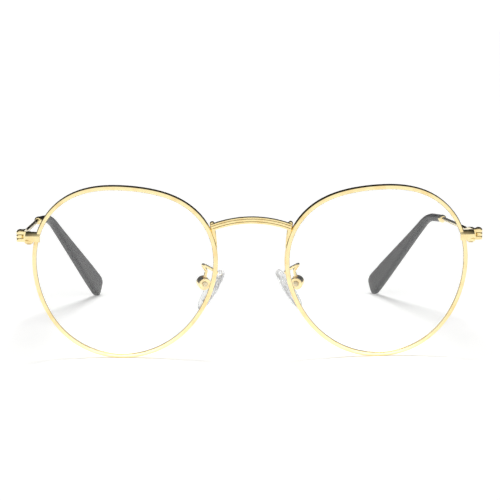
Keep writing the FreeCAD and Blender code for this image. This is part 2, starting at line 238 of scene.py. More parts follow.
def bridgeRings(rings):
    # quads between rings of equal length, and a face over each end
    count = len(rings[0])
    points = [point for ring in rings for point in ring]
    faces = [tuple(reversed(range(count))), tuple(range(len(points) - count, len(points)))]
    for start in range(0, len(points) - count, count):
        for step in range(count):
            near, far = start + step, start + (step + 1) % count
            faces.append((near, far, far + count, near + count))
    return points, faces


def joinPieces(name, parts, angle=35):
    # several closed shells of one body become one piece
    shape = bmesh.new()
    for part in parts:
        shape.from_mesh(part.data)
    mesh = bpy.data.meshes.new(name)
    shape.to_mesh(mesh)
    shape.free()
    for part in parts:
        bpy.data.objects.remove(part)
    smoothFaces(mesh, angle)
    return linked(name, mesh)


def mirrorPiece(piece, name):
    mesh = piece.data.copy()
    mesh.transform(Matrix.Diagonal((-1, 1, 1, 1)))
    mesh.flip_normals()
    return linked(name, mesh)


def finishPiece(piece, material, body, nodes):
    piece.data.materials.clear()
    piece.data.materials.append(material)
    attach(piece, body)
    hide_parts(*nodes)


def finishPair(piece, material, bodies, nodeName):
    # the piece becomes the left one, and its mirror image the right one
    other = mirrorPiece(piece, "right" + piece.name)
    piece.name = "left" + piece.name
    for one, side in ((piece, "left"), (other, "right")):
        finishPiece(one, material, bodies.format(side), [f"{side}_{nodeName}"])


def axesFrom(direction, upright=Vector((0, 0, 1))):
    side = direction.cross(upright).normalized()
    return side.cross(direction), side


def roundedPath(corners, bends, step):
    # straight runs joined by tangent arcs, as points about a step apart
    line = [corners[0]]
    for before, corner, after, radius in zip(corners, corners[1:], corners[2:], bends):
        back = (before - corner).normalized()
        ahead = (after - corner).normalized()
        whole = pi - back.angle(ahead)
        reach = radius * tan(whole / 2)
        middle = corner + (back + ahead).normalized() * (radius / cos(whole / 2))
        start, finish = corner + back * reach - middle, corner + ahead * reach - middle
        count = max(4, ceil(whole * radius / step))
        for index in range(count + 1):
            turn = whole * index / count
            weights = sin(whole - turn) / sin(whole), sin(turn) / sin(whole)
            line.append(middle + start * weights[0] + finish * weights[1])
    line.append(corners[-1])
    filled = [line[0]]
    for before, after in zip(line, line[1:]):
        count = max(1, ceil((after - before).length / step))
        for index in range(1, count + 1):
            filled.append(before.lerp(after, index / count))
    return filled


def pathTools(line):
    # how far each point is along the path, and a function from distance to place and direction
    along = [0.0]
    for before, after in zip(line, line[1:]):
        along.append(along[-1] + (after - before).length)

    def spot(distance):
        distance = min(max(distance, 0), along[-1])
        index = next((k for k in range(1, len(along)) if along[k] >= distance), len(along) - 1)
        share = (distance - along[index - 1]) / max(along[index] - along[index - 1], 1e-12)
        centre = line[index - 1].lerp(line[index], share)
        ahead = line[min(index + 1, len(line) - 1)] - line[max(index - 2, 0)]
        return centre, ahead.normalized()

    return along, spot


def ovalRing(centre, up, side, height, thickness, squareness=2.0, count=28):
    # height and thickness in millimetres; squareness 2 is an ellipse
    ring, power = [], 2 / squareness
    for step in range(count):
        angle = 2 * pi * step / count
        across, tall = [copysign(abs(part) ** power, part) for part in (cos(angle), sin(angle))]
        ring.append(centre + side * (across * thickness / 2 * mm) + up * (tall * height / 2 * mm))
    return ring


def turned(name, profile, origin, axis, count=40):
    # a turned piece: rows of (distance along the axis, radius), both in millimetres
    axis = axis.normalized()
    helper = Vector((0, 0, 1)) if abs(axis.z) < 0.9 else Vector((1, 0, 0))
    up, side = axesFrom(axis, helper)
    rings = []
    for far, radius in profile:
        rings.append(ovalRing(origin + axis * (far * mm), up, side, 2 * radius, 2 * radius, 2, count))
    return meshObject(name, *bridgeRings(rings))


def eased(name, corners, faces, width):
    # a solid with flat faces and edges softened by a width in millimetres
    piece = meshObject(name, corners, faces)
    shape = bmesh.new()
    shape.from_mesh(piece.data)
    bmesh.ops.bevel(shape, geom=shape.edges[:], offset=width * mm, segments=3, profile=0.5, affect="EDGES",
                    clamp_overlap=True)
    bmesh.ops.recalc_face_normals(shape, faces=shape.faces)
    shape.to_mesh(piece.data)
    shape.free()
    smoothFaces(piece.data, 50)
    return piece


def easedBox(name, low, high, width):
    (left, front, bottom), (right, back, top) = low, high
    corners = [(x, y, z) for z in (bottom, top) for x, y in
               ((left, front), (right, front), (right, back), (left, back))]
    faces = [(0, 3, 2, 1), (4, 5, 6, 7), (0, 1, 5, 4), (1, 2, 6, 5), (2, 3, 7, 6), (3, 0, 4, 7)]
    return eased(name, places(corners), faces, width)


def startTree(name, kinds, numbers):
    # named inputs: the given kinds, the material, and plain numbers
    tree = bpy.data.node_groups.new(name, "GeometryNodeTree")
    tree.interface.new_socket("Geometry", in_out="OUTPUT", socket_type="NodeSocketGeometry")
    for label, kind in {**kinds, "Material": "Material", **dict.fromkeys(numbers, "Float")}.items():
        tree.interface.new_socket(label, in_out="INPUT", socket_type="NodeSocket" + kind)
    return tree, node(tree, "NodeGroupInput").outputs


def vector(tree, x, y, z):
    return node(tree, "ShaderNodeCombineXYZ", n0=x, n1=y, n2=z)


def sums(tree):
    # short names for a tree's plus, minus, times and power
    return [partial(calc, tree, operation) for operation in ("ADD", "SUBTRACT", "MULTIPLY", "POWER")]


def squareSum(tree, spot):
    plus, _, _, power = sums(tree)
    return plus(power(spot.outputs[0], 2.0), power(spot.outputs[1], 2.0))


def sweepAlong(tree, given, position):
    # a straight line is cut into steps, moved onto its path and swept with the profile
    line = node(tree, "GeometryNodeCurvePrimitiveLine", End=(1, 0, 0))
    fine = node(tree, "GeometryNodeResampleCurve", n0=line, Count=given["Steps"])
    path = node(tree, "GeometryNodeSetPosition", n0=fine, Position=position)
    upright = node(tree, "GeometryNodeSetCurveNormal", {"mode": "Z_UP"}, n0=path)
    section = node(tree, "GeometryNodeObjectInfo", n0=given["Profile"]).outputs["Geometry"]
    return node(tree, "GeometryNodeCurveToMesh", n0=upright, n1=section, Fill_Caps=True)


def endTree(tree, geometry, material):
    whole = node(tree, "GeometryNodeRealizeInstances", n0=geometry)
    painted = node(tree, "GeometryNodeSetMaterial", n0=whole, Material=material)
    node(tree, "NodeGroupOutput", n0=painted)


def growPiece(name, tree, values, base=None, angle=35):
    # runs the tree and keeps its result as a plain mesh
    piece = linked(name, base or bpy.data.meshes.new(name))
    modifier = piece.modifiers.new(tree.name, "NODES")
    modifier.node_group = tree
    for item in tree.interface.items_tree:
        if item.item_type == "SOCKET" and item.in_out == "INPUT" and item.name in values:
            modifier[item.identifier] = values[item.name]
    bpy.context.view_layer.update()
    graph = bpy.context.evaluated_depsgraph_get()
    mesh = bpy.data.meshes.new_from_object(piece.evaluated_get(graph))
    piece.modifiers.clear()
    piece.data = mesh
    smoothFaces(mesh, angle)
    return piece


def profileObject(name, outline):
    # closed flat curve for a tree to sweep
    curve = bpy.data.curves.new(name, "CURVE")
    curve.dimensions = "2D"
    spline = curve.splines.new("POLY")
    spline.points.add(len(outline) - 1)
    for point, (x, y) in zip(spline.points, outline):
        point.co = (x, y, 0, 1)
    spline.use_cyclic_u = True
    return linked(name, curve)


def turnAbout(axis, angle):
    return Matrix.Rotation(radians(angle), 4, axis)


def sweptPiece(name, outline, tree, values, stand):
    # the tree works with z to the front, so the piece is stood up before it goes to its place
    profile = profileObject("profile", outline)
    piece = growPiece(name, tree, {"Profile": profile, **values})
    bpy.data.objects.remove(profile)
    piece.data.transform(stand @ turnAbout("X", 90))
    return piece


def roundedCorner(x, y, radius, start, count=5):
    turns = [radians(start + 90 * step / count) for step in range(count + 1)]
    return [(x + radius * cos(turn), y + radius * sin(turn)) for turn in turns]


eyewire = {
    "centre": (35.65, 25.20),          # x and z of the outline's centre
    "tilt": 5.0,
    "wrap": 4.0,
    "baseRadius": 132.0,
    "meanRadius": 25.46,
    "lobes": ((2, 0.60, -3.0), (3, 0.85, 37.2), (4, 0.26, 49.7)),   # waves, size, angle of a peak
    "width": 1.25,
    "depth": 1.90,
    "round": 0.28,
    "outerRound": 0.42,
    "grooveDepth": 0.50,
    "grooveWidth": 0.90,
    "grooveTaper": 0.8,
    "splitAngle": 19.3,
    "splitGap": 0.45,
    "steps": 420,
}
lensCentre = Matrix.Translation(place(eyewire["centre"][0], 0, eyewire["centre"][1]))
lensPlace = lensCentre @ turnAbout("Z", eyewire["wrap"]) @ turnAbout("X", eyewire["tilt"])


def eyewireProfile():
    # x is outwards from the outer edge, y is the depth
    width, half, soft = eyewire["width"] * mm, eyewire["depth"] * mm / 2, eyewire["round"] * mm
    outer = eyewire["outerRound"] * mm
    floor, lip = eyewire["grooveDepth"] * mm, eyewire["grooveWidth"] * mm / 2
    bottom = lip * eyewire["grooveTaper"]
    outline = roundedCorner(-outer, half - outer, outer, 0)
    outline += roundedCorner(soft - width, half - soft, soft, 90)
    outline += [(-width, lip), (floor - width, bottom), (floor - width, -bottom), (-width, -lip)]
    outline += roundedCorner(soft - width, soft - half, soft, 180)
    outline += roundedCorner(-outer, outer - half, outer, 270)
    return outline


def eyewireTree():
    waved = [f"{label} {waves}" for waves, size, peak in eyewire["lobes"] for label in ("Size", "Peak")]
    numbers = ["Start", "Sweep", "Mean Radius", "Base Radius", *waved]
    tree, given = startTree("eyewire", {"Profile": "Object", "Steps": "Int"}, numbers)
    plus, minus, times, power = sums(tree)
    share = node(tree, "GeometryNodeSplineParameter").outputs["Factor"]
    angle = plus(times(share, given["Sweep"]), given["Start"])
    radius = given["Mean Radius"]
    for waves, size, peak in eyewire["lobes"]:
        phase = times(minus(angle, given[f"Peak {waves}"]), waves)
        radius = plus(radius, times(calc(tree, "COSINE", phase), given[f"Size {waves}"]))
    x, y = [times(calc(tree, turn, angle), radius) for turn in ("COSINE", "SINE")]
    swept = sweepAlong(tree, given, vector(tree, x, y, 0.0))
    # the whole rim leans back from its middle like a slice of a ball
    spot = node(tree, "ShaderNodeSeparateXYZ", n0=node(tree, "GeometryNodeInputPosition"))
    ball = calc(tree, "SQRT", minus(power(given["Base Radius"], 2.0), squareSum(tree, spot)))
    sag = vector(tree, 0.0, 0.0, minus(ball, given["Base Radius"]))
    domed = node(tree, "GeometryNodeSetPosition", n0=swept, Offset=sag)
    endTree(tree, domed, given["Material"])
    return tree


def makeEyewires():
    gap = radians(eyewire["splitGap"])
    values = {
        "Material": rimGold, "Steps": eyewire["steps"],
        "Start": radians(eyewire["splitAngle"]) + gap / 2, "Sweep": 2 * pi - gap,
        "Mean Radius": eyewire["meanRadius"] * mm, "Base Radius": eyewire["baseRadius"] * mm,
    }
    for waves, size, peak in eyewire["lobes"]:
        values[f"Size {waves}"] = size * mm
        values[f"Peak {waves}"] = radians(peak)
    piece = sweptPiece("Eyewire", eyewireProfile(), eyewireTree(), values, lensPlace)
    finishPair(piece, rimGold, "front", "rim")


makeEyewires()
print("eyewires swept")


lens = {
    "thickness": 1.60,
    "tongue": 0.84,
    "inset": 1.28,
    "tongueInset": 0.76,
    "tongueEdge": (0.5, 0.7),  # width of the tongue's rounding, and the share of its thickness left there
    "segments": 200,
    "rings": 14,
    "middle": 0.004,          # share of the outline that the face in the middle takes
}


def outlinePoint(angle, inset):
    radius, slope = eyewire["meanRadius"], 0.0
    for waves, size, peak in eyewire["lobes"]:
        phase = waves * (angle - radians(peak))
        radius += size * cos(phase)
        slope -= size * waves * sin(phase)
    outward = Vector((cos(angle), sin(angle)))
    onward = Vector((-sin(angle), cos(angle)))
    normal = (outward * radius - onward * slope).normalized()
    return outward * radius - normal * inset


def lensRing(share, inset, depth):
    # one ring on a ball about the lens's centre of curvature; depth is back from the mid surface
    ring = []
    for step in range(lens["segments"]):
        x, z = outlinePoint(2 * pi * step / lens["segments"], inset) * share
        ball = eyewire["baseRadius"] - depth
        y = eyewire["baseRadius"] - sqrt(ball ** 2 - x ** 2 - z ** 2)
        ring.append(lensPlace @ (Vector((x, y, z)) * mm))
    return ring


def makeLenses():
    half, tongue, edge = lens["thickness"] / 2, lens["tongue"] / 2, lens["tongueInset"]
    wide, thin = lens["tongueEdge"]
    shares = [lens["middle"]] + [(index + 1) / lens["rings"] for index in range(lens["rings"])]
    rings = [lensRing(share, lens["inset"], -half) for share in shares]
    for inset, depth in ((wide, -tongue), (0, -tongue * thin), (0, tongue * thin), (wide, tongue)):
        rings.append(lensRing(1, edge + inset, depth))
    rings += [lensRing(share, lens["inset"], half) for share in reversed(shares)]
    piece = meshObject("Lens", *bridgeRings(rings), 25)
    finishPair(piece, lensGlass, "front", "lens")


makeLenses()
print("lenses made")


bridge = {
    "half": 10.90,
    "middleZ": 39.40,
    "endZ": 37.40,
    "height": 2.00,
    "depth": 1.50,
    "front": -1.15,
    "round": 0.42,
    "grooves": (-0.36, 0.36),
    "grooveHalf": 0.11,
    "grooveDepth": 0.10,
    # painted shade for the engraved grooves: its colour, and how much of it is mixed into the gold
    "grooveShadeColour": (0.30, 0.19, 0.07),
    "grooveShade": 0.42,
    "steps": 120,
    "legRadius": 0.68,
    "legTip": 0.28,
    "legBend": 2.0,
    "legStep": 0.3,
    "legTop": (8, 4.0),       # rings over the round top, and the angle of the first
    "legTaper": (0.8, 1.3),   # where the taper starts, as a share of the way to the knee, and its power
    "legPoints": ((10.90, -0.10, 38.45), (10.35, 0.15, 34.60), (9.75, 0.45, 31.60)),
}
bridgeRise = bridge["middleZ"] - bridge["endZ"]
archRadius = (bridge["half"] ** 2 + bridgeRise ** 2) / (2 * bridgeRise)


def shadeGrooves():
    # paints shade into the engraved lines, which lie at set distances from the arch's centre: a darker
    # colour stands in for the shade that falls in the grooves
    tree = bridgeGold.node_tree
    centre = place(0, 0, bridge["middleZ"] - archRadius)
    own = node(tree, "ShaderNodeTexCoord").outputs["Object"]
    flat = node(tree, "ShaderNodeMapping", Vector=own, Location=(-centre.x, 0, -centre.z), Scale=(1, 0, 1))
    length = node(tree, "ShaderNodeVectorMath", {"operation": "LENGTH"}, n0=flat).outputs["Value"]
    shade, half = 0.0, bridge["grooveHalf"] * mm
    for groove in bridge["grooves"]:
        radius = (archRadius + groove) * mm
        near = node(tree, "ShaderNodeMath", {"operation": "COMPARE"}, n0=length, n1=radius, n2=half)
        shade = calc(tree, "MAXIMUM", near, shade)
    shader = tree.nodes["Principled BSDF"]
    plain = shader.inputs["Base Color"].links[0].from_socket
    # the painted groove shade is mixed into the gold's own colour
    share, colour = calc(tree, "MULTIPLY", shade, bridge["grooveShade"]), (*bridge["grooveShadeColour"], 1)
    mix = node(tree, "ShaderNodeMix", {"data_type": "RGBA"}, n0=share, n6=plain, n7=colour)
    feed(shader, Base_Color=mix.outputs[2])


def bridgeProfile():
    # x is up, y is the depth with the engraved front at the low end
    tall, deep, soft = bridge["height"] * mm / 2, bridge["depth"] * mm / 2, bridge["round"] * mm
    outline = roundedCorner(tall - soft, deep - soft, soft, 0)
    outline += roundedCorner(soft - tall, deep - soft, soft, 90)
    outline += roundedCorner(soft - tall, soft - deep, soft, 180)
    for centre in bridge["grooves"]:
        near, far = (centre - bridge["grooveHalf"]) * mm, (centre + bridge["grooveHalf"]) * mm
        outline += [(near, -deep), (centre * mm, bridge["grooveDepth"] * mm - deep), (far, -deep)]
    outline += roundedCorner(tall - soft, soft - deep, soft, 270)
    return outline


def bridgeTree():
    numbers = ("Half Angle", "Arch Radius", "Level")
    tree, given = startTree("engravedBridge", {"Profile": "Object", "Steps": "Int"}, numbers)
    plus, minus, times, _ = sums(tree)
    share = node(tree, "GeometryNodeSplineParameter").outputs["Factor"]
    angle = times(minus(times(share, 2.0), 1.0), given["Half Angle"])
    x, y = [times(calc(tree, turn, angle), given["Arch Radius"]) for turn in ("SINE", "COSINE")]
    bar = sweepAlong(tree, given, vector(tree, x, plus(y, given["Level"]), 0.0))
    endTree(tree, bar, given["Material"])
    return tree


def makeLeg():
    # a post with a round top that is drawn out to a thin tip along the rim
    top, knee, foot = places(bridge["legPoints"])
    line = roundedPath([top, knee, foot], [bridge["legBend"] * mm], bridge["legStep"] * mm)
    along, spot = pathTools(line)
    radius, thin = bridge["legRadius"], bridge["legTip"]
    (count, first), (early, power) = bridge["legTop"], bridge["legTaper"]
    taperFrom = (knee - top).length / along[-1] * early
    backward = Vector((0, 1, 0))
    way = spot(0)[1]
    rings = []
    for step in range(count):
        lift = radians(first + (90 - first) * step / count)
        size = 2 * radius * sin(lift)
        rings.append(ovalRing(top - way * (radius * mm * cos(lift)), *axesFrom(way, backward), size, size))
    for distance in along:
        centre, direction = spot(distance)
        share = max(0, (distance / along[-1] - taperFrom) / (1 - taperFrom))
        size = 2 * (radius + (thin - radius) * share ** power)
        rings.append(ovalRing(centre, *axesFrom(direction, backward), size, size))
    return meshObject("leg", *bridgeRings(rings))


def makeBridge():
    values = {
        "Material": bridgeGold, "Steps": bridge["steps"], "Half Angle": asin(bridge["half"] / archRadius),
        "Arch Radius": archRadius * mm, "Level": (bridge["middleZ"] - archRadius) * mm,
    }
    middle = Matrix.Translation(place(0, bridge["front"] + bridge["depth"] / 2, 0))
    bar = sweptPiece("bar", bridgeProfile(), bridgeTree(), values, middle)
    leg = makeLeg()
    piece = joinPieces("bridge", [bar, leg, mirrorPiece(leg, "otherLeg")])
    finishPiece(piece, bridgeGold, "front", ["bridge"])


shadeGrooves()
makeBridge()
print("bridge engraved")


endPiece = {
    "inner": (58.70, 1.85),
    "turn": 14.0,
    "length": 4.34,
    "thickness": 1.90,
    "skin": 0.70,             # over the rim's front
    "skinFrom": 0.20,
    "skinTo": 1.00,
    "thickFrom": 1.90,
    "bottom": 33.15,
    "bottomRise": 0.75,
    "shoulder": 34.75,
    "top": 35.90,
    "slopeDepth": 0.70,
    "topLand": 0.05,          # flat left behind the slope where the plate is thin
    "soft": 0.13,
}
closingBlock = {
    "centre": (61.90, 3.85),
    "size": (2.20, 1.64),
    "low": (32.67, 33.52),
    "high": (33.72, 34.57),
    "soft": 0.14,
}


def endSection(x, bottom, back):
    top, slope = endPiece["top"], min(endPiece["slopeDepth"], back - endPiece["topLand"])
    return [(x, 0, bottom), (x, 0, endPiece["shoulder"]), (x, slope, top), (x, back, top), (x, back, bottom)]


def makeEndPieces():
    # a thin skin over the rim that thickens behind it, with a lower edge that climbs to the hinge
    rows = [
        (endPiece["skinFrom"], endPiece["bottom"], endPiece["skin"]),
        (endPiece["skinTo"], endPiece["bottom"], endPiece["skin"]),
        (endPiece["thickFrom"], endPiece["bottom"], endPiece["thickness"]),
        (endPiece["length"], endPiece["bottom"] + endPiece["bottomRise"], endPiece["thickness"]),
    ]
    turn = turnAbout("Z", endPiece["turn"])
    origin = place(endPiece["inner"][0], endPiece["inner"][1], 0)
    rings = [[origin + turn @ (Vector(point) * mm) for point in endSection(*row)] for row in rows]
    plate = eased("plate", *bridgeRings(rings), endPiece["soft"])
    upper = easedBox("upperBlock", *blockCorners(closingBlock["high"]), closingBlock["soft"])
    piece = joinPieces("EndPiece", [plate, upper], 50)
    finishPair(piece, hardwareGold, "front", "end_piece")


def blockCorners(levels):
    (x, y), (wide, deep) = closingBlock["centre"], closingBlock["size"]
    return (x - wide / 2, y - deep / 2, levels[0]), (x + wide / 2, y + deep / 2, levels[1])


def makeRimLocks():
    piece = easedBox("RimLock", *blockCorners(closingBlock["low"]), closingBlock["soft"])
    finishPair(piece, hardwareGold, "front", "rim_lock")


makeEndPieces()
makeRimLocks()
print("end pieces made")


hinge = {
    "bottom": 32.90,
    "knuckleRadius": 1.15,
    "knuckleHeight": 0.95,
    "gap": 0.08,
    "soft": 0.16,
    "leafInner": 61.40,
    "leafOuter": 63.45,
    "leafFront": 4.67,
    "leafBack": 5.50,
    "earFront": 5.20,
    "sweep": 0.22,
    "leafSoft": 0.09,
    "inset": 0.03,            # what the inner parts stand back behind the plate's edges
    "overlap": (0.10, 0.15),  # how far the inner part runs into the plate and past the room of the knuckle
    "earLength": 0.60,
    "bore": 0.30,
    "roundShare": 0.3,
    "tabThickness": 1.15,
    "tabStart": 0.40,
    "tabEnd": 1.85,
    "tabSoft": 0.08,
}


def knuckleLevel(level):
    return hinge["bottom"] + level * (hinge["knuckleHeight"] + hinge["gap"])


def onHingeAxis(z):
    return Vector((hingeAxis.x, hingeAxis.y, z * mm))


def makeKnuckle(level):
    radius, height, soft, bore = hinge["knuckleRadius"], hinge["knuckleHeight"], hinge["soft"], hinge["bore"]
    part = soft * hinge["roundShare"]
    lower = [(0, bore), (0, radius - soft), (part, radius - part), (soft, radius)]
    profile = lower + [(height - far, wide) for far, wide in reversed(lower)]
    return turned("knuckle", profile, onHingeAxis(knuckleLevel(level)), Vector((0, 0, 1)))


def makeFrontHinges():
    # a plate with an ear to the lowest and to the highest knuckle, hollowed for the turning one
    axisX, axisY = hingeAxis.x / mm, hingeBehindLens / mm
    room = hinge["knuckleRadius"] + hinge["sweep"]
    top = knuckleLevel(3) - hinge["gap"]
    sheetBack, inset, soft = axisY - room, hinge["inset"], hinge["leafSoft"]
    runIn, runPast = hinge["overlap"]
    inner, outer, bottom = hinge["leafInner"], hinge["leafOuter"], hinge["bottom"]
    parts = [
        easedBox("sheet", (inner, hinge["leafFront"], bottom), (outer, sheetBack, top), soft),
        easedBox("inner", (inner + inset, sheetBack - runIn, bottom + inset),
                 (axisX - room + runPast, hinge["leafBack"], top - inset), soft),
    ]
    for level in (0, 2):
        low = knuckleLevel(level) + inset / 2
        high = knuckleLevel(level) + hinge["knuckleHeight"] - inset / 2
        parts.append(easedBox("ear", (outer - hinge["earLength"], hinge["earFront"], low),
                              (axisX, hinge["leafBack"] + inset, high), soft))
        parts.append(makeKnuckle(level))
    piece = joinPieces("FrontHinge", parts, 40)
    finishPair(piece, hardwareGold, "front", "front_hinge")


def makeTempleHinges():
    axisX, axisY = hingeAxis.x / mm, hingeBehindLens / mm
    low, half = knuckleLevel(1), hinge["tabThickness"] / 2
    tab = easedBox("tab", (axisX - half, axisY + hinge["tabStart"], low),
                   (axisX + half, axisY + hinge["tabEnd"], low + hinge["knuckleHeight"]), hinge["tabSoft"])
    piece = joinPieces("TempleHinge", [makeKnuckle(1), tab], 40)
    finishPair(piece, hardwareGold, "{}_temple", "temple_hinge")


makeFrontHinges()
makeTempleHinges()
print("hinges made")


temple = {
    "points": ((64.35, 6.30, 34.32), (63.80, 78.50, 30.78), (60.60, 89.30, 30.15), (46.15, 126.90, 1.92)),
    "bends": (40.0, 14.0),
    "step": 0.5,
    "wireRadius": 0.65,
    "butt": (2.50, 1.15),      # height and thickness at the hinge
    "buttStart": 1.75,
    "buttSquare": 6,
    "rounding": (12.75, 21.75),   # where the butt passes into the round wire
    "tipStart": 72.6,
    "coreReach": 12.0,
    "rows": 150,
    "sides": 36,
    "face": (0.86, 0.72),     # share of the height and the thickness left at the front end
    "lead": 0.12,
}
tip = {
    "sections": ((0.00, 2.25, 2.15), (0.17, 2.50, 2.35), (0.34, 3.00, 2.45), (0.55, 4.30, 2.50),
                 (0.76, 5.90, 2.50), (0.93, 6.90, 2.45), (1.00, 6.90, 2.40)),   # share, height, thickness
    "endShare": 0.94,
    "endBlunt": 0.44,
    "endPower": 2.6,
    "square": (2.2, 4.0),     # from nearly oval at the ferrule to a soft rectangle
    "squareOver": (0.1, 0.6),
    "rows": 110,
    "crowding": 1.25,         # rows stand closer together near the end
    "sides": 40,
    "face": (0.93, 0.93),
    "lead": 0.10,
}
ferrule = {
    "length": 2.20,
    "profile": (              # distance along the axis, radius
        (0.0, 0.72), (0.04, 0.86), (0.12, 0.93), (0.30, 0.93), (0.38, 0.84), (0.46, 0.90),
        (0.60, 1.10), (0.80, 1.22), (1.05, 1.27), (1.30, 1.27), (1.52, 1.21), (1.68, 1.10),
        (1.74, 1.06), (1.80, 1.12), (1.90, 1.17), (2.08, 1.17), (2.16, 1.12), (2.20, 1.02),
    ),
}

templeBends = [bend * mm for bend in temple["bends"]]
templeAlong, templeSpot = pathTools(roundedPath(places(temple["points"]), templeBends, temple["step"] * mm))


def smoothStep(value, low, high):
    share = min(max((value - low) / (high - low), 0), 1)
    return share * share * (3 - 2 * share)


def alongTemple(rows, sizes):
    # rows of distance, height, thickness and squareness; the first ring has a smaller one before it
    (tall, thin), rings = sizes["face"], []
    for distance, height, thickness, squareness in rows:
        centre, direction = templeSpot(distance * mm)
        ways, more = axesFrom(direction), (squareness, sizes["sides"])
        if not rings:
            rings.append(ovalRing(centre, *ways, height * tall, thickness * thin, *more))
            centre = centre + direction * (sizes["lead"] * mm)
        rings.append(ovalRing(centre, *ways, height, thickness, *more))
    return bridgeRings(rings)


def makeTempleWires():
    start, end = temple["buttStart"], temple["tipStart"] + temple["coreReach"]
    rows = []
    for step in range(temple["rows"] + 1):
        distance = start + (end - start) * step / temple["rows"]
        share = smoothStep(distance, *temple["rounding"])
        sizes = [butt + (2 * temple["wireRadius"] - butt) * share for butt in temple["butt"]]
        rows.append((distance, *sizes, temple["buttSquare"] + (2 - temple["buttSquare"]) * share))
    piece = meshObject("TempleWire", *alongTemple(rows, temple), 40)
    finishPair(piece, wireGold, "{}_temple", "temple_wire")


def tipSize(share):
    # smooth curve through the sections
    rows = tip["sections"]
    index = next((k for k in range(1, len(rows)) if rows[k][0] >= share), len(rows) - 1)
    near, far = rows[index - 1], rows[index]
    before, after = rows[max(index - 2, 0)], rows[min(index + 1, len(rows) - 1)]
    span = far[0] - near[0]
    local = (share - near[0]) / span
    ease, leave, arrive = smoothStep(local, 0, 1), local * (1 - local) ** 2, local ** 2 * (local - 1)
    sizes = []
    for k in (1, 2):
        slopes = (far[k] - before[k]) / (far[0] - before[0]), (after[k] - near[k]) / (after[0] - near[0])
        sizes.append(near[k] + (far[k] - near[k]) * ease + span * (leave * slopes[0] + arrive * slopes[1]))
    return sizes


def makeTips():
    start, (near, far) = temple["tipStart"], tip["square"]
    length = templeAlong[-1] / mm - start
    rows = []
    for row in range(tip["rows"] + 1):
        share = 1 - (1 - row / tip["rows"]) ** tip["crowding"]
        sizes = tipSize(share)
        if share > tip["endShare"]:
            closing = (share - tip["endShare"]) / (1 - tip["endShare"])
            rest = max(0.0, 1 - closing ** tip["endPower"]) ** (1 / tip["endPower"])
            sizes = [size * (tip["endBlunt"] + (1 - tip["endBlunt"]) * rest) for size in sizes]
        squareness = near + (far - near) * smoothStep(share, *tip["squareOver"])
        rows.append((start + share * length, *sizes, squareness))
    piece = meshObject("Tip", *alongTemple(rows, tip), 60)
    finishPair(piece, tipPlastic, "{}_temple", "temple_tip")


def makeFerrules():
    end, direction = templeSpot(temple["tipStart"] * mm)
    piece = turned("Ferrule", ferrule["profile"], end - direction * (ferrule["length"] * mm), direction)
    finishPair(piece, hardwareGold, "{}_temple", "ferrule")


makeTempleWires()
makeTips()
makeFerrules()
print("temples made")


padArm = {
    "points": ((9.95, 1.20, 24.50), (10.30, 3.60, 24.95), (13.30, 4.20, 26.45), (13.60, 6.75, 26.05),
               (12.45, 7.70, 24.30), (13.10, 7.80, 21.60)),
    "bend": 0.95,
    "step": 0.12,
    "radius": 0.45,
    "sides": 20,
    "solder": (0.75, 0.70, 0.30),   # radius, flattening, and how far it starts before the arm
    "solderTip": 0.03,
}
padBox = {
    "centre": (13.25, 7.60, 20.90),
    "axis": (-0.30, -0.92, -0.25),
    "radius": 1.80,
    "bore": 0.35,
    "length": 2.60,
    "slot": 1.30,
    "soft": 0.26,
    "dish": 0.10,
    "dishEdge": (0.12, 0.26),
    "wall": 0.60,
    "wallHalf": 48.0,         # degrees to either side
    "lap": 0.05,
}
nosePad = {
    "centre": (11.05, 9.25, 18.60),
    "lean": 32.0,
    "splay": 14.0,
    "length": 13.0,
    "breadth": 7.2,
    "thickness": 2.2,
    "roundness": 0.26,
    "swell": 0.9,
    "taper": 0.10,
    "rows": 40,
    "sides": 64,
}
padCore = {
    "length": 8.0,
    "breadth": 3.6,
    "thickness": 0.70,
    "square": 2.3,
    "edge": ((1.0, 0.25), (1.0, 0.08), (0.6, 0.0)),   # height on the edge, and what the outline loses there
    "eyeRadius": 1.05,
    "eyeThickness": 1.10,
    "eyeSoft": 0.12,
    "hole": 0.50,
    "stemStart": 0.50,
    "stemReach": 0.98,
    "stemWidth": (0.86, 0.50),   # share of the eye at the start, and what is added by the end
    "stemThin": 0.25,
    "stemSquare": 3.0,
}


def wireTree():
    tree, given = startTree("drawnWire", {"Geometry": "Geometry", "Sides": "Int"}, ["Radius"])
    line = node(tree, "GeometryNodeMeshToCurve", n0=given["Geometry"])
    ring = node(tree, "GeometryNodeCurvePrimitiveCircle", Resolution=given["Sides"], Radius=given["Radius"])
    swept = node(tree, "GeometryNodeCurveToMesh", n0=line, n1=ring, Fill_Caps=True)
    endTree(tree, swept, given["Material"])
    return tree


def makePadArms():
    corners = places(padArm["points"])
    line = roundedPath(corners, [padArm["bend"] * mm] * (len(corners) - 2), padArm["step"] * mm)
    path = bpy.data.meshes.new("armPath")
    path.from_pydata([tuple(point) for point in line], [(k, k + 1) for k in range(len(line) - 1)], [])
    values = {"Material": wireGold, "Radius": padArm["radius"] * mm, "Sides": padArm["sides"]}
    arm = growPiece("arm", wireTree(), values, path)
    (size, flat, before), profile = padArm["solder"], []
    for step in range(13):
        turn = pi * step / 12
        profile.append((size * (1 - cos(turn)) * flat - before, max(padArm["solderTip"], size * sin(turn))))
    solder = turned("solder", profile, corners[0], corners[1] - corners[0], 24)
    piece = joinPieces("PadArm", [arm, solder])
    finishPair(piece, wireGold, "front", "pad_arm")


def padWays():
    lean, splay = radians(nosePad["lean"]), radians(nosePad["splay"])
    lengthWay = Vector((-sin(lean), 0, cos(lean)))
    breadthWay = Vector((sin(splay), cos(splay), 0))
    outward = breadthWay.cross(lengthWay).normalized()
    return lengthWay, lengthWay.cross(outward).normalized(), outward


def boxWays():
    axis = Vector(padBox["axis"]).normalized()
    outward = padWays()[2]
    away = (outward - axis * outward.dot(axis)).normalized()
    return axis, away, axis.cross(away)


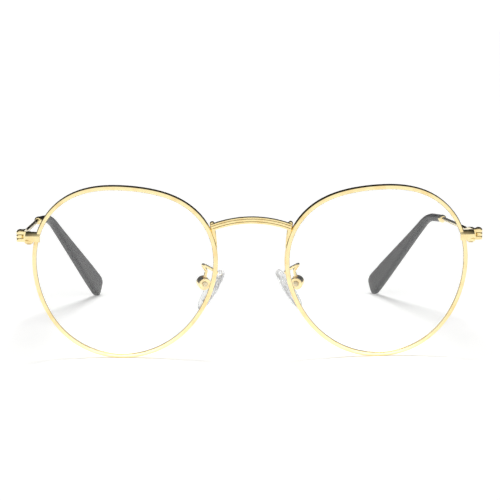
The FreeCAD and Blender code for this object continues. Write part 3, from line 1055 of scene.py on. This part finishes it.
def makePadBoxes():
    # a cup of two cheeks with the pad's eye between them, closed on the side away from the pad
    axis, away, across = boxWays()
    centre = place(*padBox["centre"])
    radius, half, soft, dish = padBox["radius"], padBox["length"] / 2, padBox["soft"], padBox["dish"]
    inner, lap, bore, flat = padBox["slot"] / 2, padBox["lap"], padBox["bore"], radius - soft
    cheek = [(inner, bore), (inner, radius - lap), (inner + lap, radius), (half - soft, radius)]
    for turn in map(radians, (22, 45, 68, 90)):
        cheek.append((half - soft + soft * sin(turn), flat + soft * cos(turn)))
    outer, sunk = padBox["dishEdge"]
    cheek += [(half, flat - outer), (half - dish, flat - sunk), (half - dish, bore)]
    front = turned("frontCheek", cheek, centre, axis, 48)
    back = turned("backCheek", [(-far, wide) for far, wide in cheek], centre, axis, 48)
    thin, deep = radius - padBox["wall"], inner + lap
    rings = []
    for step in range(25):
        turn = radians(padBox["wallHalf"]) * (step / 12 - 1)
        spoke = away * cos(turn) + across * sin(turn)
        section = ((thin, -deep), (radius, -deep), (radius, deep), (thin, deep))
        rings.append([centre + (spoke * out + axis * far) * mm for out, far in section])
    wall = meshObject("wall", *bridgeRings(rings), 40)
    piece = joinPieces("PadBox", [front, back, wall], 40)
    finishPair(piece, hardwareGold, "front", "pad_box")


def makeNosePads():
    # a flattened egg: rings run from the middle of one face over the edge to the other
    lengthWay, breadthWay, outward = padWays()
    centre = place(*nosePad["centre"])
    rows, sides = nosePad["rows"], nosePad["sides"]
    tall, broad, thick = [nosePad[key] * mm / 2 for key in ("length", "breadth", "thickness")]
    rings = []
    for row in range(1, rows):
        turn = pi * (row / rows - 0.5)
        spread = cos(turn) ** nosePad["roundness"]
        lift = outward * (copysign(abs(sin(turn)) ** nosePad["swell"], turn) * thick)
        ring = []
        for step in range(sides):
            angle = 2 * pi * step / sides
            narrowed = broad * (1 - nosePad["taper"] * (1 + cos(angle)) / 2)
            flat = lengthWay * (cos(angle) * tall) + breadthWay * (sin(angle) * narrowed)
            ring.append(centre + flat * spread + lift)
        rings.append(ring)
    piece = meshObject("NosePad", *bridgeRings(rings), 80)
    finishPair(piece, padSilicone, "{}_pad", "nose_pad")


def makePadCores():
    lengthWay, breadthWay, outward = padWays()
    axis, away, across = boxWays()
    centre, boxCentre = place(*nosePad["centre"]), place(*padBox["centre"])
    half, length, breadth = padCore["thickness"] / 2, padCore["length"], padCore["breadth"]
    levels = [(-lift, loss) for lift, loss in padCore["edge"]] + list(reversed(padCore["edge"]))
    rings = []
    for lift, loss in levels:
        middle = centre + outward * (lift * half * mm)
        sizes = (breadth - loss, length - loss, padCore["square"])
        rings.append(ovalRing(middle, breadthWay, lengthWay, *sizes, 48))
    plate = meshObject("plate", *bridgeRings(rings))
    thick, wide, soft = padCore["eyeThickness"] / 2, padCore["eyeRadius"], padCore["eyeSoft"]
    upper = [(thick - soft, wide), (thick, wide - soft), (thick, padCore["hole"])]
    eye = turned("eye", [(-far, out) for far, out in reversed(upper)] + upper, boxCentre, axis, 36)
    reach = abs((boxCentre - centre).dot(outward) / away.dot(outward)) * padCore["stemReach"]
    narrow, growth = padCore["stemWidth"]
    rings = []
    for step in range(9):
        share = step / 8
        spot = boxCentre - away * (reach * share + padCore["stemStart"] * mm * (1 - share))
        width = 2 * wide * (narrow + growth * share ** 2)
        depth = 2 * thick * (1 - padCore["stemThin"] * share)
        rings.append(ovalRing(spot, axis, across, depth, width, padCore["stemSquare"], 24))
    stem = meshObject("stem", *bridgeRings(rings))
    piece = joinPieces("PadCore", [plate, eye, stem], 40)
    finishPair(piece, coreClear, "{}_pad", "pad_core")


makePadArms()
makePadBoxes()
makeNosePads()
makePadCores()
print("nose pads made")


# what the screw tree's inputs take for each kind of screw
rimScrew = {"Head Radius": 0.72, "Head Height": 0.26, "Dome": 0.10, "Slot Width": 0.22, "Slot Depth": 0.20}
hingeScrew = {"Head Radius": 0.95, "Head Height": 0.16, "Dome": 0.40, "Slot Width": 0.26, "Slot Depth": 0.20}
padScrew = {"Head Radius": 0.80, "Head Height": 0.22, "Dome": 0.14, "Slot Width": 0.24, "Slot Depth": 0.20}
# powers of the distance from the axis that make the drum and its crown, and the cutter's length in radii
screwShape = {"drum": 0.28, "crown": 0.56, "axisGap": 0.001, "cutLength": 3.0}


def screwTree():
    # a round head with a slot, grown on each point and turned to the point's own axis
    tree, given = startTree("slottedScrew", {"Geometry": "Geometry"}, rimScrew)
    plus, minus, times, power = sums(tree)
    ball = node(tree, "GeometryNodeMeshUVSphere", Segments=36, Rings=24, Radius=1.0)
    spot = node(tree, "ShaderNodeSeparateXYZ", n0=node(tree, "GeometryNodeInputPosition"))
    flat = calc(tree, "SQRT", squareSum(tree, spot))
    # the ball's sides are pushed out to a drum with soft edges, and its upper half keeps a dome
    clear = calc(tree, "MAXIMUM", flat, screwShape["axisGap"])
    push = times(calc(tree, "DIVIDE", power(flat, screwShape["drum"]), clear), given["Head Radius"])
    x, y = times(spot.outputs[0], push), times(spot.outputs[1], push)
    half = calc(tree, "DIVIDE", given["Head Height"], 2.0)
    drum = plus(times(spot.outputs[2], half), half)
    crown = times(minus(1.0, power(flat, screwShape["crown"])), given["Dome"])
    above = calc(tree, "GREATER_THAN", spot.outputs[2], 0.0)
    head = vector(tree, x, y, plus(drum, times(crown, above)))
    head = node(tree, "GeometryNodeSetPosition", n0=ball, Position=head)
    length, depth = times(given["Head Radius"], screwShape["cutLength"]), times(given["Slot Depth"], 2.0)
    cutter = node(tree, "GeometryNodeMeshCube", Size=vector(tree, length, given["Slot Width"], depth))
    top = vector(tree, 0.0, 0.0, plus(given["Head Height"], given["Dome"]))
    raised = node(tree, "GeometryNodeTransform", n0=cutter, Translation=top)
    slotted = node(tree, "GeometryNodeMeshBoolean", {"operation": "DIFFERENCE", "solver": "EXACT"},
                   n0=head, n1=raised)
    axis = node(tree, "GeometryNodeInputNamedAttribute", {"data_type": "FLOAT_VECTOR"}, Name="axis")
    lean = node(tree, "FunctionNodeAlignRotationToVector", {"axis": "Z"}, Vector=axis)
    grown = node(tree, "GeometryNodeInstanceOnPoints", n0=given["Geometry"], Instance=slotted, Rotation=lean)
    endTree(tree, grown, given["Material"])
    return tree


def growScrews(noun, tree, screw, seat, axis):
    # one point for each side carries the axis that its screw follows
    base = bpy.data.meshes.new(noun)
    base.from_pydata([(sign * seat.x, seat.y, seat.z) for sign in (1, -1)], [], [])
    ways = base.attributes.new("axis", "FLOAT_VECTOR", "POINT")
    for way, sign in zip(ways.data, (1, -1)):
        way.vector = (sign * axis.x, axis.y, axis.z)
    values = {label: size * mm for label, size in screw.items()}
    piece = growPiece(noun + "Screws", tree, {"Material": tintedSteel, **values}, base, 30)
    spent = piece.data.attributes.get("axis")
    if spent:
        piece.data.attributes.remove(spent)
    nodes = [f"{side}_{noun}_screw" for side in ("left", "right")]
    finishPiece(piece, tintedSteel, "front", nodes)


def makeScrews():
    tree = screwTree()
    under = place(*closingBlock["centre"], closingBlock["low"][0])
    growScrews("rim", tree, rimScrew, under, Vector((0, 0, -1)))
    top = onHingeAxis(knuckleLevel(3) - hinge["gap"])
    growScrews("hinge", tree, hingeScrew, top, Vector((0, 0, 1)))
    axis = boxWays()[0]
    face = place(*padBox["centre"]) + axis * ((padBox["length"] / 2 - padBox["dish"]) * mm)
    growScrews("pad", tree, padScrew, face, axis)


makeScrews()
print("screws grown")


studio = {
    "floorSize": 8.0,
    "frontLight": 1.05,
    "backLight": 0.02,
    "darkFrom": -0.55,
    "darkTo": 0.25,
    "topShare": 0.55,         # how much the top is darkened beside the back
    "bentFrom": 0.15,         # light bent further than this in a clear piece meets the dim studio
    "bentTo": 0.55,
    "skyPower": 2.1,
    "skySpread": 24.0,
    "skyWay": (0, -0.36, -1),
    "paperLight": 1.1,        # what the camera sees behind the table
    "tableGlow": 0.29,
    "white": (0.93, 0.93, 0.925),
}


def makeFloor():
    # a lit white table
    white = studio["white"]
    paper = makeMaterial("studioPaper", {
        "shader": {"Emission_Color": (1, 1, 1, 1), "Emission_Strength": studio["tableGlow"]},
        "tint": (900, 3),
        "colours": ((0.3, [part - 0.01 for part in white]), (0.7, white)),
        "rough": (0.85, 0.95),
    })
    half, low = studio["floorSize"] / 2, boundsAtStart[0].z
    corners = [(-half, -half, low), (half, -half, low), (half, half, low), (-half, half, low)]
    floor = meshObject("floor", corners, [(0, 1, 2, 3)])
    floor.data.materials.append(paper)


def makeWorld():
    # bright in front and below, and dim behind, so that the metal's upper edges read dark
    world = bpy.data.worlds.new("softStudio")
    bpy.context.scene.world = world
    world.use_nodes = True
    tree = world.node_tree
    tree.nodes.clear()
    way = node(tree, "ShaderNodeTexCoord").outputs["Generated"]
    rays = node(tree, "ShaderNodeLightPath").outputs
    behind = (0, 1, studio["topShare"])
    lean = node(tree, "ShaderNodeVectorMath", {"operation": "DOT_PRODUCT"}, n0=way, n1=behind)
    level = rangeOf(tree, lean.outputs["Value"], studio["frontLight"], studio["backLight"],
                    studio["darkFrom"], studio["darkTo"], "SMOOTHSTEP")
    around = node(tree, "ShaderNodeBackground", Color=(1, 1, 1, 1), Strength=level)
    paper = node(tree, "ShaderNodeBackground", Color=(1, 1, 1, 1), Strength=studio["paperLight"])
    ahead = node(tree, "ShaderNodeSeparateXYZ", n0=way).outputs["Y"]
    nearlyAhead = rangeOf(tree, ahead, 0.0, 1.0, studio["bentFrom"], studio["bentTo"])
    through = calc(tree, "MULTIPLY", rays["Is Transmission Ray"], nearlyAhead)
    straight = calc(tree, "MAXIMUM", rays["Is Camera Ray"], through)
    mix = node(tree, "ShaderNodeMixShader", n0=straight, n1=around, n2=paper)
    node(tree, "ShaderNodeOutputWorld", n0=mix)


def aim(holder, way):
    holder.rotation_mode = "QUATERNION"
    holder.rotation_quaternion = way.to_track_quat("-Z", "Y")


def makeSky():
    # a soft light from above and behind, which the metal doesn't mirror
    light = bpy.data.lights.new("skyLight", "SUN")
    light.energy = studio["skyPower"]
    light.angle = radians(studio["skySpread"])
    holder = linked("skyLight", light)
    aim(holder, Vector(studio["skyWay"]))
    holder.visible_glossy = False


camera = {
    "sensor": 36,
    "distance": 0.588,
    "azimuth": -2.38,
    "height": 0.1054,
    "pitch": 7.214,
    "lens": 153.36,
    "shift": -0.00276,
    "clip": (0.01, 50),
}


def makeCamera():
    data = bpy.data.cameras.new("camera")
    data.sensor_width = camera["sensor"]
    data.lens = camera["lens"]
    data.shift_x = camera["shift"]
    data.clip_start, data.clip_end = camera["clip"]
    holder = linked("camera", data)
    turn, pitch, far = radians(camera["azimuth"]), radians(camera["pitch"]), camera["distance"]
    holder.location = (far * sin(turn), lensFront - far * cos(turn), camera["height"])
    level = cos(pitch)
    aim(holder, Vector((-sin(turn) * level, cos(turn) * level, -sin(pitch))))
    bpy.context.scene.camera = holder


makeFloor()
makeWorld()
makeSky()
makeCamera()
bpy.context.scene.view_settings.view_transform = "Standard"
print("studio ready")
